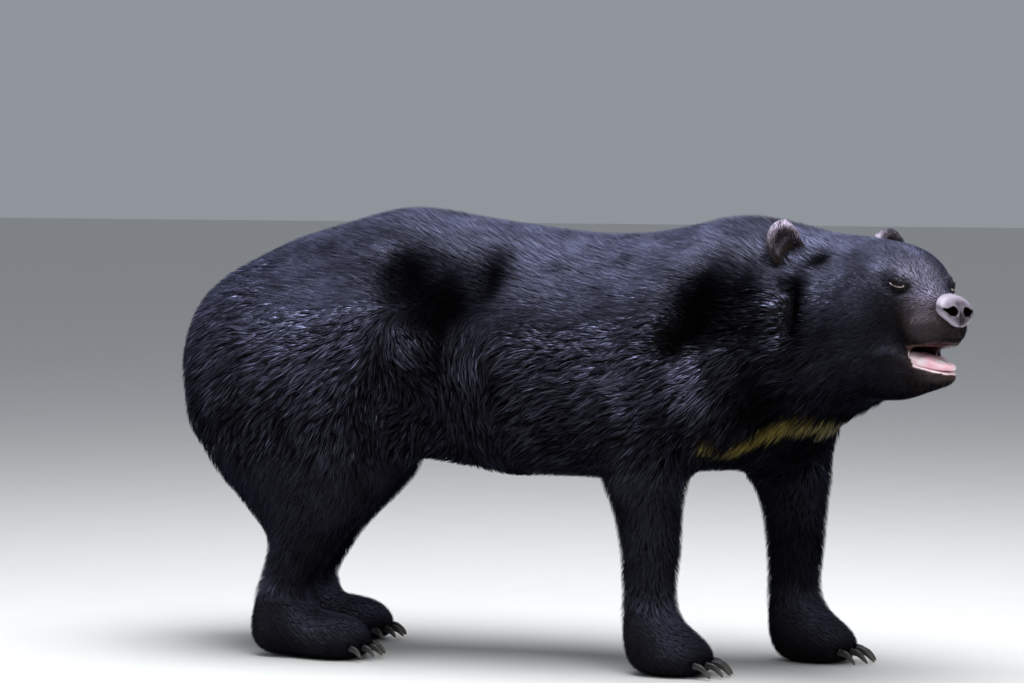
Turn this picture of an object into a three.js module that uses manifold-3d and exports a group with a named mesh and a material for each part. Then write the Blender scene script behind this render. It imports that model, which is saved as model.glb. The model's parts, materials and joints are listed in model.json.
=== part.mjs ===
// Adult Asiatic black bear, life size, standing with its head turned to its right and its mouth open.
// Millimetres. +X runs towards the head, +Y to the animal's left and +Z up, with the soles on Z = 0.
// Every form reaches out to the tips of the coat.
//
// The flesh is one smooth field of muscle masses. Each sub-part is a skin drawn over that field from
// its own bone, and flat cuts with a thin gap part it from its neighbours.

import * as THREE from "three";
import { mergeVertices } from "three/addons/utils/BufferGeometryUtils.js";
import Module from "manifold-3d";

const wasm = await Module();
wasm.setup();

// ---------------------------------------------------------------- driving dimensions

const GAP = 0.8; // width of the cut between two neighbours
// Heights of the top line and of the lower line.
const BACK = { rump: 738, croup: 793, hips: 837, loin: 806, ribs: 788, withers: 812 };
const UNDER = { groin: 392, belly: 338, chest: 362 };
const HALF_WIDTH = 1.04; // the trunk's half width for each unit of its half depth

const SIDES = Object.entries({ right: -1, left: 1 });
const LEG_SIDE = 142; // from the middle plane to the middle of a leg
const FORE = { left: 505, right: 325 }; // how far forward each fore leg stands
const HIND = { left: -425, right: -345 };
const ELBOW = 400;
const WRIST = 118;
const KNEE = 350;
const ANKLE = 122;
const SOLE = { heel: 45, toes: 42, ahead: 48 }; // heights inside a paw, and how far its skin's bone runs on
const COLUMN_RISE = 30; // how far the bone inside a lower leg stands above the wrist and the elbow
const TOES = 5;
const TOE_PITCH = 23;
const TOE = { radii: [33, 13.5, 21], height: 22, ahead: 92, fall: 5 }; // outer toes stand back by fall
const CLAW = { thick: 6.5, curl: 1, ahead: 20, rise: 4, spread: 5 }; // curl in radians, spread in degrees
// A leg parts from the trunk along a slope from inner up to outer, each [from the middle plane, height],
// and at walls behind and before it. The heights joint and foot are those of its own two cuts; the
// shape of the lower leg runs on above its joint as far as cuff.
const FORE_LEG = {
  inner: [84, 345],
  outer: [240, 660],
  walls: [-175, 140],
  joint: 345,
  cuff: 75,
  foot: WRIST,
  heel: -18,
  claw: 50,
};
const HIND_LEG = {
  inner: [52, 345],
  outer: [250, 690],
  walls: [-900, 236],
  joint: 338,
  cuff: 20,
  foot: ANKLE,
  heel: -80,
  claw: 38,
};

const HEAD_AT = [646, -50, 680]; // midway between the ears
const HEAD_TURN = { yaw: -31, pitch: -1.7, roll: -4.2 }; // degrees; a minus yaw looks to the right
// The head's parts are given in its own frame, for the left side: X to the nose, Z up.
const EAR = { at: [-7, 123, 88], radii: [16, 40, 45], lean: 20 }; // tilted out by lean degrees
const EAR_DISH = { from: [14, 4, -2], radii: [14, 30, 35] }; // the hollow at the front of the ear
const EYE = { inside: [168, 33, 22], outward: 25, radius: 12, sunk: 7 }; // on a ray out of the skull
const NOSE = { at: [309, 0, -22], radii: [22, 35, 27], droop: -14 };
const LIPS = { corner: [230, -88], upper: [262, -86], lower: [245, -118], front: [316, -133] };
const MOUTH = { at: [216, 0, -104], radii: [86, 32, 34] };
const TONGUE = { root: 160, tip: 307, top: -101, half: 26, thick: 32, fall: 2 };
const TAIL = { root: [-596, 0, 622], tip: [-641, 0, 545], thick: 34 };

// ---------------------------------------------------------------- fields of muscle masses

const vec = (p) => new THREE.Vector3(...p);
const degrees = (turn) => turn.map(THREE.MathUtils.degToRad);

// An ellipsoid, turned about X, Y and Z in degrees: negative inside, about the distance outside.
function ellipsoid(centre, radii, turn = [0, 0, 0]) {
  const c = vec(centre);
  const r = vec(radii);
  const back = new THREE.Quaternion().setFromEuler(new THREE.Euler(...degrees(turn), "XYZ")).invert();
  const q = new THREE.Vector3();
  return (p) => {
    q.copy(p).sub(c).applyQuaternion(back).divide(r);
    const k0 = q.length();
    const k1 = q.divide(r).length();
    return k1 > 0 ? (k0 * (k0 - 1)) / k1 : -Math.min(r.x, r.y, r.z);
  };
}

// A cone with round ends between two balls [x, y, z, radius]; wide stretches it sideways.
function bone(from, to, wide = 1) {
  const a = new THREE.Vector3(from[0], from[1] / wide, from[2]);
  const ba = new THREE.Vector3(to[0], to[1] / wide, to[2]).sub(a);
  const [ra, rb] = [from[3], to[3]];
  const l2 = ba.lengthSq();
  const dr = ra - rb;
  const a2 = l2 - dr * dr;
  const pa = new THREE.Vector3();
  const side = new THREE.Vector3();
  return (p) => {
    pa.set(p.x, p.y / wide, p.z).sub(a);
    const y = pa.dot(ba);
    const z = y - l2;
    const x2 = side.copy(pa).multiplyScalar(l2).addScaledVector(ba, -y).lengthSq();
    const y2 = y * y * l2;
    const z2 = z * z * l2;
    const k = Math.sign(dr) * dr * dr * x2;
    if (Math.sign(z) * a2 * z2 > k) return Math.sqrt(x2 + z2) / l2 - rb;
    if (Math.sign(y) * a2 * y2 < k) return Math.sqrt(x2 + y2) / l2 - ra;
    return (Math.sqrt((x2 * a2) / l2) + y * dr) / l2 - ra;
  };
}

// Bones end to end through a list of balls, as one mass.
function chain(balls, wide = 1) {
  const bones = balls.slice(1).map((ball, i) => bone(balls[i], ball, wide));
  return melt(bones, 8);
}

// The masses melt into each other over the distance soft.
function melt(masses, soft) {
  return (p) =>
    masses.reduce((d, mass) => {
      const e = mass(p);
      const h = Math.max(soft - Math.abs(d - e), 0) / soft;
      return Math.min(d, e) - (h * h * soft) / 4;
    }, 1e4);
}

// A ball of the trunk that reaches from the height bottom to the height top.
const ballBetween = (x, top, bottom, y = 0) => [x, y, (top + bottom) / 2, (top - bottom) / 2];

// ---------------------------------------------------------------- the body's field

const trunkMass = chain(
  [
    ballBetween(-472, BACK.rump, UNDER.groin - 20),
    ballBetween(-345, BACK.croup, UNDER.groin - 20),
    ballBetween(-185, BACK.hips, UNDER.groin - 20),
    ballBetween(15, BACK.loin, UNDER.belly),
    ballBetween(195, BACK.ribs, UNDER.belly),
    ballBetween(330, BACK.ribs + 8, UNDER.chest - 8),
    ballBetween(460, BACK.withers, UNDER.chest + 10),
  ],
  HALF_WIDTH,
);

const neckMasses = [
  chain([ballBetween(470, BACK.withers, 420), [575, -18, 638, 158], [650, -48, 650, 130]], 1.1),
  ellipsoid([480, 0, 500], [122, 155, 128]), // breast
  ellipsoid([605, -35, 595], [132, 158, 118], [0, -8, -12]), // throat
];

// side is -1 for the right legs and 1 for the left ones.
function shoulderMasses(x, side) {
  return [
    ellipsoid([x * 0.45 + 235, side * 165, 575], [118, 78, 165], [side * 8, 12, 0]), // shoulder
    ellipsoid([x * 0.7 + 85, side * 158, 455], [92, 72, 110]), // upper arm
  ];
}

function haunchMasses(x, side) {
  return [
    ellipsoid([x - 45, side * 140, 485], [215, 108, 215], [side * 6, 0, 0]), // haunch
    ellipsoid([x + 35, side * 150, 385], [158, 84, 122]), // thigh
  ];
}

// The balls down a leg; the first two are its elbow or knee.
const foreBalls = (x, side) => [
  [x - 8, side * 152, ELBOW, 80],
  [x - 4, side * 148, ELBOW - 80, 70],
  [x + 2, side * LEG_SIDE, 240, 61],
  [x - 2, side * LEG_SIDE, WRIST, 52],
];
const hindBalls = (x, side) => [
  [x + 50, side * 150, KNEE + 50, 84],
  [x + 62, side * 150, KNEE, 80],
  [x - 25, side * LEG_SIDE, 190, 60],
  [x - 62, side * LEG_SIDE, ANKLE, 50],
];

// A paw from the ball of its heel, at x + heelBall, to the toes.
function pawMasses(x, y, heelBall) {
  return [
    bone([x + heelBall, y, 44, 46], [x + 48, y, 36, 40], 1.2),
    ellipsoid([x + 64, y, 32], [58, 62, 34]),
  ];
}

const { roll, pitch, yaw } = HEAD_TURN;
const headTurn = new THREE.Quaternion().setFromEuler(new THREE.Euler(...degrees([roll, pitch, yaw]), "ZYX"));
const headPose = new THREE.Matrix4().compose(vec(HEAD_AT), headTurn, new THREE.Vector3(1, 1, 1));
const toHead = headPose.clone().invert();

// Head masses, in the head's own frame.
const headMasses = [
  ellipsoid([10, 0, -10], [142, 124, 117]), // cranium
  ellipsoid([122, 0, 8], [130, 104, 97]), // brow
  ...[-1, 1].map((s) => ellipsoid([152, s * 44, 26], [72, 50, 46])), // brow ridges
  bone([150, 0, -8, 66], [259, 0, -34, 43], 1.14), // muzzle
  ellipsoid([256, 0, -55], [62, 50, 35]), // upper lip
  ...[-1, 1].map((s) => ellipsoid([100, s * 64, -52], [92, 70, 88])), // cheeks
  ...[-1, 1].map((s) => ellipsoid([8, s * 92, -75], [92, 76, 112])), // ruff
  ellipsoid([106, 0, -106], [118, 94, 80]), // throat below the jaw
  bone([185, 0, -136, 42], [258, 0, -134, 23], 1.25), // lower jaw
  ellipsoid([263, 0, -134], [47, 34, 18]), // chin
];
const headField = melt(headMasses, 34);

// One leg's sizes, with its masses.
function legOf(sizes, name, x, side, balls, upper, heelBall) {
  const y = side * LEG_SIDE;
  return { ...sizes, name, x, y, side, balls, upper, paw: pawMasses(x, y, heelBall) };
}

const legs = SIDES.flatMap(([which, side]) => {
  const [foreX, hindX] = [FORE[which], HIND[which]];
  const shoulder = shoulderMasses(foreX, side);
  const haunch = haunchMasses(hindX, side);
  return [
    legOf(FORE_LEG, `fore_${which}`, foreX, side, foreBalls(foreX, side), shoulder, 0),
    legOf(HIND_LEG, `hind_${which}`, hindX, side, hindBalls(hindX, side), haunch, -75),
  ];
});
const inHead = new THREE.Vector3();
const coreMasses = [
  trunkMass,
  ...neckMasses,
  ...legs.flatMap(({ upper }) => upper),
  (p) => headField(inHead.copy(p).applyMatrix4(toHead)),
];
// The torso takes in the elbows and knees; each lower leg has a field of its own.
const elbows = legs.map(({ balls: [[x, y, z, r]] }) => ellipsoid([x, y, z], [r, r, r]));
const torsoField = melt([...coreMasses, ...elbows], 60);
const legField = ({ upper, balls, paw }) => melt([...upper, chain(balls), ...paw], 60);

// ---------------------------------------------------------------- solids

// A closed geometry as a solid that can be cut and joined.
function solid(geometry, matrix = new THREE.Matrix4()) {
  const bare = geometry.clone().applyMatrix4(matrix);
  bare.deleteAttribute("normal");
  bare.deleteAttribute("uv");
  const merged = mergeVertices(bare, 1e-3);
  return new wasm.Manifold(
    new wasm.Mesh({
      numProp: 3,
      vertProperties: merged.attributes.position.array,
      triVerts: new Uint32Array(merged.index.array),
    }),
  );
}

// Steps from inside the field along a ray until it leaves the flesh, at most to reach.
function surfaceOn(field, from, direction, reach) {
  const origin = new THREE.Vector3(...from);
  const p = new THREE.Vector3();
  const depth = (t) => field(p.copy(origin).addScaledVector(direction, t));
  let inside = 0;
  let outside = reach;
  for (let t = 0; t < reach; ) {
    const d = depth(t);
    if (d > 0) {
      outside = t;
      break;
    }
    inside = t;
    t += Math.max(-d * 0.6, 1.5);
  }
  if (outside < reach)
    for (let i = 0; i < 12; i++) {
      const middle = (inside + outside) / 2;
      if (depth(middle) > 0) outside = middle;
      else inside = middle;
    }
  return p.copy(origin).addScaledVector(direction, outside).clone();
}

// A skin over a field: a capsule round the bone through points, each vertex slid along its own ray.
function wrap(field, points, { around, along, cap, reach, place = new THREE.Matrix4() }) {
  const curve = new THREE.CatmullRomCurve3(points.map(vec));
  const chord = vec(points.at(-1)).sub(vec(points[0])).normalize();
  const aim = new THREE.Quaternion().setFromUnitVectors(new THREE.Vector3(0, 1, 0), chord);
  const geometry = new THREE.CapsuleGeometry(1, 1, cap, around, along);
  const at = geometry.getAttribute("position");
  const v = new THREE.Vector3();
  const probe = new THREE.Vector3();
  const placed = (p) => field(probe.copy(p).applyMatrix4(place));
  for (let i = 0; i < at.count; i++) {
    v.fromBufferAttribute(at, i);
    const share = THREE.MathUtils.clamp(v.y + 0.5, 0, 1);
    v.y -= share - 0.5;
    const origin = curve.getPoint(share);
    const direction = v.normalize().applyQuaternion(aim);
    at.setXYZ(i, ...surfaceOn(placed, origin, direction, reach));
  }
  return solid(geometry);
}

// A box from low to high, placed by a matrix.
function block(low, high, matrix = new THREE.Matrix4()) {
  const size = vec(high).sub(vec(low));
  const middle = vec(low).add(vec(high)).multiplyScalar(0.5);
  const box = new THREE.BoxGeometry(size.x, size.y, size.z).translate(...middle);
  return solid(box, matrix);
}

const FAR = 3000;

// A room is all that lies beyond its planes, each of them [point, normal].
function room(planes, pose = new THREE.Matrix4()) {
  const walls = planes.map(([at, normal]) =>
    new THREE.Plane().setFromNormalAndCoplanarPoint(vec(normal).normalize(), vec(at)).applyMatrix4(pose),
  );
  const up = new THREE.Vector3(0, 0, 1);
  return (grow) =>
    walls
      .map((wall) => {
        const aim = new THREE.Quaternion().setFromUnitVectors(up, wall.normal);
        const foot = wall.coplanarPoint(new THREE.Vector3());
        const place = new THREE.Matrix4().compose(foot, aim, new THREE.Vector3(1, 1, 1));
        return block([-FAR, -FAR, -grow], [FAR, FAR, FAR], place);
      })
      .reduce((a, b) => a.intersect(b));
}

// What a solid keeps in the rooms inside and out of the rooms outside, half a gap short of each.
function part(made, inside, outside) {
  const kept = inside.reduce((left, space) => left.intersect(space(-GAP / 2)), made);
  return outside.reduce((left, space) => left.subtract(space(GAP / 2)), kept);
}

// A ball stretched to its radii and turned, in degrees.
function ball(centre, radii, around = 12, rings = 8, turn = [0, 0, 0]) {
  const spin = new THREE.Quaternion().setFromEuler(new THREE.Euler(...degrees(turn), "XYZ"));
  const place = new THREE.Matrix4().compose(vec(centre), spin, vec(radii));
  return solid(new THREE.SphereGeometry(1, around, rings), place);
}

// A slab across the body, as wide as twice half, from its outline [x, z] in the side view.
function slab(outline, half) {
  const shape = new THREE.Shape(outline.map(([x, z]) => new THREE.Vector2(x, z)));
  const flat = new THREE.ExtrudeGeometry(shape, { depth: 2 * half, bevelEnabled: false });
  return solid(flat.rotateX(Math.PI / 2).translate(0, half, 0));
}

// A horn that leaves its root forwards and curls down to a point; spread turns it outwards.
function claw(length, root, spread) {
  const nail = new THREE.ConeGeometry(CLAW.thick, length, 4, 3);
  const at = nail.getAttribute("position");
  const bend = length / CLAW.curl;
  for (let i = 0; i < at.count; i++) {
    const share = at.getY(i) / length + 0.5;
    const angle = share * CLAW.curl;
    const fuller = 1 + share * 0.8;
    const radius = bend + at.getX(i) * fuller;
    at.setXYZ(i, radius * Math.sin(angle), at.getZ(i) * fuller * 0.7, radius * Math.cos(angle) - bend);
  }
  const place = new THREE.Matrix4().makeRotationZ(...degrees([spread]));
  return solid(nail, place.setPosition(...root));
}

// ---------------------------------------------------------------- materials

const finish = (color, roughness) => new THREE.MeshStandardMaterial({ color, roughness, metalness: 0 });
const coat = () => finish(0x131419, 0.6);
const earCoat = () => finish(0x1f1a18, 0.75);
const horn = () => finish(0x2a2521, 0.35);
const eyeball = () => finish(0x120b07, 0.08);
const noseSkin = () => finish(0x55555c, 0.3);
const tongueSkin = () => finish(0xd58a8c, 0.35);

// ---------------------------------------------------------------- sub-parts

const bear = new THREE.Group();
bear.name = "black_bear";
const head = new THREE.Group();
head.applyMatrix4(headPose);
bear.add(head);

// Crumbs that the cuts leave beside a solid are dropped.
function add(name, made, material, parent = bear) {
  const whole = made.decompose().reduce((a, b) => (a.volume() > b.volume() ? a : b));
  const { vertProperties, triVerts } = whole.getMesh();
  const geometry = new THREE.BufferGeometry();
  geometry.setAttribute("position", new THREE.BufferAttribute(new Float32Array(vertProperties), 3));
  geometry.setIndex(new THREE.BufferAttribute(new Uint32Array(triVerts), 1));
  const mesh = new THREE.Mesh(geometry, material);
  mesh.name = name;
  parent.add(mesh);
}

// The whole torso, with the upper legs, in one skin.
const torsoNet = { around: 28, along: 15, cap: 5, reach: 420 };
const torso = wrap(torsoField, [[-430, 0, 570], [480, 0, 590]], torsoNet);

// ---------------------------------------------------------------- legs

// The room above the height z.
const above = (z) => room([[[0, 0, z], [0, 0, 1]]]);

// One leg: its upper length from the torso, its lower length, then the paw, toes and claws.
function addLeg(leg, legRoom) {
  const { name, x, y, balls, joint, cuff, foot } = leg;
  const field = legField(leg);
  const ends = [balls.at(-1), balls[1]].map(([along, aside, z]) => [along, aside, z + COLUMN_RISE]);
  const column = wrap(field, ends, { around: 14, along: 5, cap: 3, reach: 300 });
  const elbow = column.subtract(above(joint + cuff)(0));
  add(`${name}_upper_leg`, part(torso.add(elbow), [legRoom, above(joint)], []), coat());
  add(`${name}_lower_leg`, part(column, [legRoom, above(foot)], [above(joint)]), coat());

  const sole = [[x + leg.heel, y, SOLE.heel], [x + SOLE.ahead, y, SOLE.toes]];
  const pad = (grow) => wrap((p) => field(p) - grow, sole, { around: 11, along: 3, cap: 3, reach: 160 });
  let paw = part(pad(0), [], [above(foot)]).intersect(above(0)(0));
  for (let i = 0; i < TOES; i++) {
    const across = i - (TOES - 1) / 2;
    const tip = [x + TOE.ahead - TOE.fall * across * across, y + across * TOE_PITCH, TOE.height];
    const toe = (grow) => ball(tip, TOE.radii.map((r) => r + grow), 7, 4);
    paw = paw.add(toe(0));
    const root = [tip[0] + CLAW.ahead, tip[1], tip[2] + CLAW.rise];
    const nail = claw(leg.claw, root, across * CLAW.spread);
    add(`${name}_claw_${i + 1}`, nail.subtract(toe(GAP)).subtract(pad(GAP)), horn());
  }
  add(`${name}_paw`, paw, coat());
}

// Each leg's room: past its slope, and between its walls, which lean by a few degrees.
const legRooms = legs.map(({ x, side, inner, outer, walls }) =>
  room([
    [[0, side * inner[0], inner[1]], [0, side * (outer[1] - inner[1]), inner[0] - outer[0]]],
    [[x + walls[0], 0, 0], [1, 0, -0.22]],
    [[x + walls[1], 0, 0], [-1, 0, -0.1]],
  ]),
);
legs.forEach((leg, i) => addLeg(leg, legRooms[i]));

// ---------------------------------------------------------------- trunk, tail and neck

// The trunk ends at a wall before the shoulders, and the neck at one behind the ears.
const fromShoulders = room([[[488, 0, 600], [1, -0.2, 0.1]]]);
const nape = [[-66, 0, 60], [1, 0, 0.27]];
const ahead = room([nape], headPose);

const tailBones = (grow) => bone([...TAIL.root, TAIL.thick + grow], [...TAIL.tip, TAIL.thick * 0.75 + grow]);
const tailNet = { around: 8, along: 1, cap: 3, reach: 90 };
const tail = (grow) => wrap(tailBones(grow), [TAIL.root, TAIL.tip], tailNet);
add("trunk", part(torso, [], [...legRooms, fromShoulders, ahead]).subtract(tail(GAP)), coat());
add("tail", tail(0), coat());
const collarNet = { around: 28, along: 2, cap: 4, reach: 330 };
const collar = wrap(torsoField, [[510, 0, 600], [600, -30, 640]], collarNet);
add("neck", part(collar, [fromShoulders], [...legRooms, ahead]), coat());

// ---------------------------------------------------------------- head

// Outlines in the head's side view: the jaw's room runs from the corner of the mouth down behind the
// cheek, and the gape is the wedge between the lips. Both end well before the face.
const { corner, upper, lower, front } = LIPS;
const below = [[400, -300], [400, front[1] - 12], front, lower];
const jawRoom = (shrink) =>
  slab([[corner[0], corner[1] - shrink], [150 + shrink, -122 - shrink], [86 + shrink, -300], ...below], 300);
const gape = slab([corner, upper, [400, upper[1] + 6], ...below.slice(1)], 120);
const mouth = ball(MOUTH.at, MOUTH.radii, 12, 7);
const tongueRadii = [(TONGUE.tip - TONGUE.root) / 2, TONGUE.half, TONGUE.thick / 2];
const tongueAt = [(TONGUE.root + TONGUE.tip) / 2, 0, TONGUE.top - TONGUE.thick / 2];
const tongue = (grow) => ball(tongueAt, tongueRadii.map((r) => r + grow), 12, 6, [0, TONGUE.fall, 0]);
const nose = (grow) => ball(NOSE.at, NOSE.radii.map((r) => r + grow), 12, 8, [0, NOSE.droop, 0]);

const face = { around: 26, along: 11, cap: 5, reach: 270, place: headPose };
let skull = wrap(torsoField, [[-10, 0, -30], [276, 0, -42]], face)
  .intersect(room([nape])(-GAP / 2))
  .subtract(jawRoom(0));
for (const hollow of [gape, mouth, tongue(GAP), nose(GAP)]) skull = skull.subtract(hollow);
const chin = { ...face, around: 14, along: 3, cap: 3, reach: 200 };
const jaw = wrap(torsoField, [[120, 0, -135], [286, 0, -143]], chin)
  .intersect(jawRoom(GAP))
  .subtract(mouth)
  .subtract(tongue(GAP));

for (const [which, side] of SIDES) {
  const onSide = ([x, y, z]) => [x, side * y, z];
  const earAt = onSide(EAR.at);
  const dishAt = onSide(EAR_DISH.from).map((step, axis) => earAt[axis] + step);
  const turn = [side * -EAR.lean, 0, 0];
  const shell = (grow) => ball(earAt, EAR.radii.map((r) => r + grow), 12, 7, turn);
  const dish = (grow) => ball(dishAt, EAR_DISH.radii.map((r) => r - grow), 8, 5, turn);
  const [outward] = degrees([side * EYE.outward]);
  const look = new THREE.Vector3(Math.cos(outward), Math.sin(outward), 0);
  const eyeAt = surfaceOn(headField, onSide(EYE.inside), look, 120).addScaledVector(look, -EYE.sunk);
  const eye = (grow) => ball([...eyeAt], new Array(3).fill(EYE.radius + grow), 9, 6);
  skull = skull.subtract(shell(GAP).subtract(dish(GAP))).subtract(eye(GAP));
  add(`${which}_ear`, shell(0).subtract(dish(0)), earCoat(), head);
  add(`${which}_eye`, eye(0), eyeball(), head);
}
add("head", skull, coat(), head);
add("lower_jaw", jaw, coat(), head);
add("nose_pad", nose(0), noseSkin(), head);
add("tongue", tongue(0), tongueSkin(), head);

// The origin is on the floor, below the middle of the whole animal.
const bounds = new THREE.Box3().setFromObject(bear, true);
bear.position.set(-(bounds.min.x + bounds.max.x) / 2, -(bounds.min.y + bounds.max.y) / 2, -bounds.min.z);

export default bear;
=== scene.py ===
import json
import math
import bpy
import bmesh
import numpy as np
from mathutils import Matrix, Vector
from mathutils.bvhtree import BVHTree
from mathutils.kdtree import KDTree


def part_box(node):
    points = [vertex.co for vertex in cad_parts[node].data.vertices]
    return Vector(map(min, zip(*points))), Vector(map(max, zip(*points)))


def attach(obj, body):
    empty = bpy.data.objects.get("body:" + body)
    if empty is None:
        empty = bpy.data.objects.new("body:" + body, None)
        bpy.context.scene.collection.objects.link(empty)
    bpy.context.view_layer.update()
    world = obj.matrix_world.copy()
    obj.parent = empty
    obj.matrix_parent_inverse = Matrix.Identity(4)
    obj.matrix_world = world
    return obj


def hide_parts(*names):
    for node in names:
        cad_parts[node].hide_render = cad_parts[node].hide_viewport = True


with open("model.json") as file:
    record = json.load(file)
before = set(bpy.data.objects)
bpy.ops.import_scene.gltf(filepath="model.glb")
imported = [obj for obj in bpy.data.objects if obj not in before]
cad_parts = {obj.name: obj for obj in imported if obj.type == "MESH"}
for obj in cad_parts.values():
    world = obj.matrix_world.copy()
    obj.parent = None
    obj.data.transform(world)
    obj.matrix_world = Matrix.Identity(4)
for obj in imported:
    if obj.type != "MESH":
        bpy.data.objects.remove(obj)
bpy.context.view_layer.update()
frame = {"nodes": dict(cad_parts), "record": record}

# ---------------------------------------------------------------- stage
# The animal stands in a studio: a pale floor that runs far back, one broad soft light overhead,
# a weaker one from the front, and an even pale surround.

aim = Vector((-0.127, 0.0, 0.586))
azimuth, elevation, distance = math.radians(22), math.radians(3), 8.0
lens, sensor = 151.875, 36.0
away = Vector((
    math.sin(azimuth) * math.cos(elevation),
    -math.cos(azimuth) * math.cos(elevation),
    math.sin(elevation),
))

camera_data = bpy.data.cameras.new("camera")
camera_data.lens = lens
camera_data.sensor_width = sensor
camera = bpy.data.objects.new("camera", camera_data)
camera.location = aim + away * distance
camera.rotation_euler = away.to_track_quat("Z", "Y").to_euler()
bpy.context.scene.collection.objects.link(camera)
bpy.context.scene.camera = camera


def area_light(name, place, size, power, color):
    data = bpy.data.lights.new(name, "AREA")
    data.shape = "DISK"
    data.size = size
    data.energy = power
    data.color = color
    light = bpy.data.objects.new(name, data)
    light.location = place
    light.rotation_euler = (Vector(place) - Vector((0, 0, 0.5))).to_track_quat("Z", "Y").to_euler()
    bpy.context.scene.collection.objects.link(light)


area_light("overhead_light", (0.2, -0.5, 4.2), 4.0, 300, (0.93, 0.96, 1.0))
area_light("front_light", (3.6, -4.2, 2.4), 2.5, 60, (1.0, 0.98, 0.95))

world = bpy.data.worlds.new("surround")
bpy.context.scene.world = world
world.use_nodes = True
world.node_tree.nodes["Background"].inputs["Color"].default_value = (0.80, 0.86, 0.95, 1)
world.node_tree.nodes["Background"].inputs["Strength"].default_value = 0.35
bpy.context.scene.view_settings.view_transform = "Standard"

floor_half = 30.0
floor_corners = [(x * floor_half, y * floor_half, 0) for x, y in ((-1, -1), (1, -1), (1, 1), (-1, 1))]
floor_mesh = bpy.data.meshes.new("floor")
floor_mesh.from_pydata(floor_corners, [], [(0, 1, 2, 3)])
floor = bpy.data.objects.new("floor", floor_mesh)
bpy.context.scene.collection.objects.link(floor)


class Value:
    """A socket of a shader that can be used in sums."""

    def __init__(self, material, socket):
        self.material = material
        self.socket = socket

    def math(self, operation, *others):
        values = dict(enumerate((self, *others)))
        return self.material.node("ShaderNodeMath", {"operation": operation}, values)

    def __add__(self, other):
        return self.math("ADD", other)

    def __sub__(self, other):
        return self.math("SUBTRACT", other)

    def __rsub__(self, other):
        return self.material.node("ShaderNodeMath", {"operation": "SUBTRACT"}, {0: other, 1: self})

    def __mul__(self, other):
        return self.math("MULTIPLY", other)

    __radd__ = __add__
    __rmul__ = __mul__


class Material:
    """A procedural material: node() adds any node and gives back one of its outputs."""

    def __init__(self, name, roughness, **constants):
        self.data = bpy.data.materials.new(name)
        self.data.use_nodes = True
        self.tree = self.data.node_tree
        self.shader = self.tree.nodes["Principled BSDF"]
        self.shader.inputs["Roughness"].default_value = roughness
        for socket, value in constants.items():
            self.shader.inputs[socket.replace("_", " ")].default_value = value

    def node(self, kind, settings=None, values=None, output=0):
        """Adds a node: its settings first, then the values or links of its sockets."""
        made = self.tree.nodes.new(kind)
        for key, value in (settings or {}).items():
            if key == "stops":
                ramp = made.color_ramp.elements
                while len(ramp) < len(value):
                    ramp.new(0.5)
                for element, (at, color) in zip(ramp, value):
                    element.position = at
                    element.color = (*color, 1)
            else:
                setattr(made, key, value)
        for socket, value in (values or {}).items():
            self.feed(made.inputs[socket], value)
        return Value(self, made.outputs[output])

    def feed(self, socket, value):
        """Links a value to a socket, or sets the socket to a number or a color."""
        if isinstance(value, Value):
            self.tree.links.new(value.socket, socket)
        elif hasattr(socket.default_value, "__len__") and len(socket.default_value) == 4:
            socket.default_value = (*value, 1)
        else:
            socket.default_value = value

    def surface(self, **links):
        """Feeds sockets of the surface's shader."""
        for socket, value in links.items():
            self.feed(self.shader.inputs[socket.replace("_", " ")], value)

    def noise(self, scale, detail=3, place=None):
        place = place or self.node("ShaderNodeNewGeometry")
        return self.node("ShaderNodeTexNoise", {}, {"Vector": place, "Scale": scale, "Detail": detail})

    def mix(self, factor, a, b):
        """Color a where factor is 0 and b where it is 1. Sockets 6 and 7 are the node's two colors."""
        made = self.node("ShaderNodeMix", {"data_type": "RGBA"}, {0: factor}, output=2)
        node = made.socket.node
        self.feed(node.inputs[6], a)
        self.feed(node.inputs[7], b)
        return made

    def ramp(self, value, *stops):
        return self.node("ShaderNodeValToRGB", {"stops": stops}, {"Fac": value})

    def between(self, value, low, high):
        smooth = {"interpolation_type": "SMOOTHSTEP"}
        return self.node("ShaderNodeMapRange", smooth, {0: value, 1: low, 2: high})

    def bump(self, height, distance, strength=1.0):
        values = {"Height": height, "Distance": distance, "Strength": strength}
        return self.node("ShaderNodeBump", {}, values)

    def attribute(self, name, output=0):
        return self.node("ShaderNodeAttribute", {"attribute_name": name}, output=output)


plaster = Material("pale_floor", 0.75)
speckle = plaster.noise(9.0, 5)
plaster.surface(Base_Color=plaster.mix(speckle, (0.70, 0.69, 0.66), (0.74, 0.73, 0.71)))
floor.data.materials.append(plaster.data)

# ---------------------------------------------------------------- skin
# One skin covers the whole animal, with no seam. It lies inside the solids by the depth of the
# coat, which is deepest on the neck and tail and a few millimetres on the muzzle and paws.

mm = 0.001
flesh = [s["node"] for s in frame["record"]["subparts"] if s["material_slot"] in ("coat", "ear_coat")]


def middle(node):
    """The middle of a solid's box."""
    low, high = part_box(node)
    return np.array((low + high) / 2)


def unit(v):
    """The same directions at length 1."""
    return v / np.maximum(np.linalg.norm(v, axis=-1, keepdims=True), 1e-9)


def smooth_step(value, low, high):
    """0 below low and 1 above high, with an even rise between them."""
    t = np.clip((value - low) / (high - low), 0, 1)
    return t * t * (3 - 2 * t)


def vertices_of(mesh):
    co = np.empty(len(mesh.vertices) * 3)
    mesh.vertices.foreach_get("co", co)
    return co.reshape(-1, 3)


def triangles_of(mesh):
    mesh.calc_loop_triangles()
    corners = np.empty(len(mesh.loop_triangles) * 3, int)
    mesh.loop_triangles.foreach_get("vertices", corners)
    return corners.reshape(-1, 3)


def add_piece(name, mesh, material, slot, *nodes):
    """Puts a piece on the animal's body, in place of the nodes where it has any."""
    piece = bpy.data.objects.new(name, mesh)
    bpy.context.scene.collection.objects.link(piece)
    mesh.materials.append(material.data)
    mesh.shade_smooth()
    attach(piece, "root")
    if nodes:
        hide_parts(*nodes)


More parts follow.
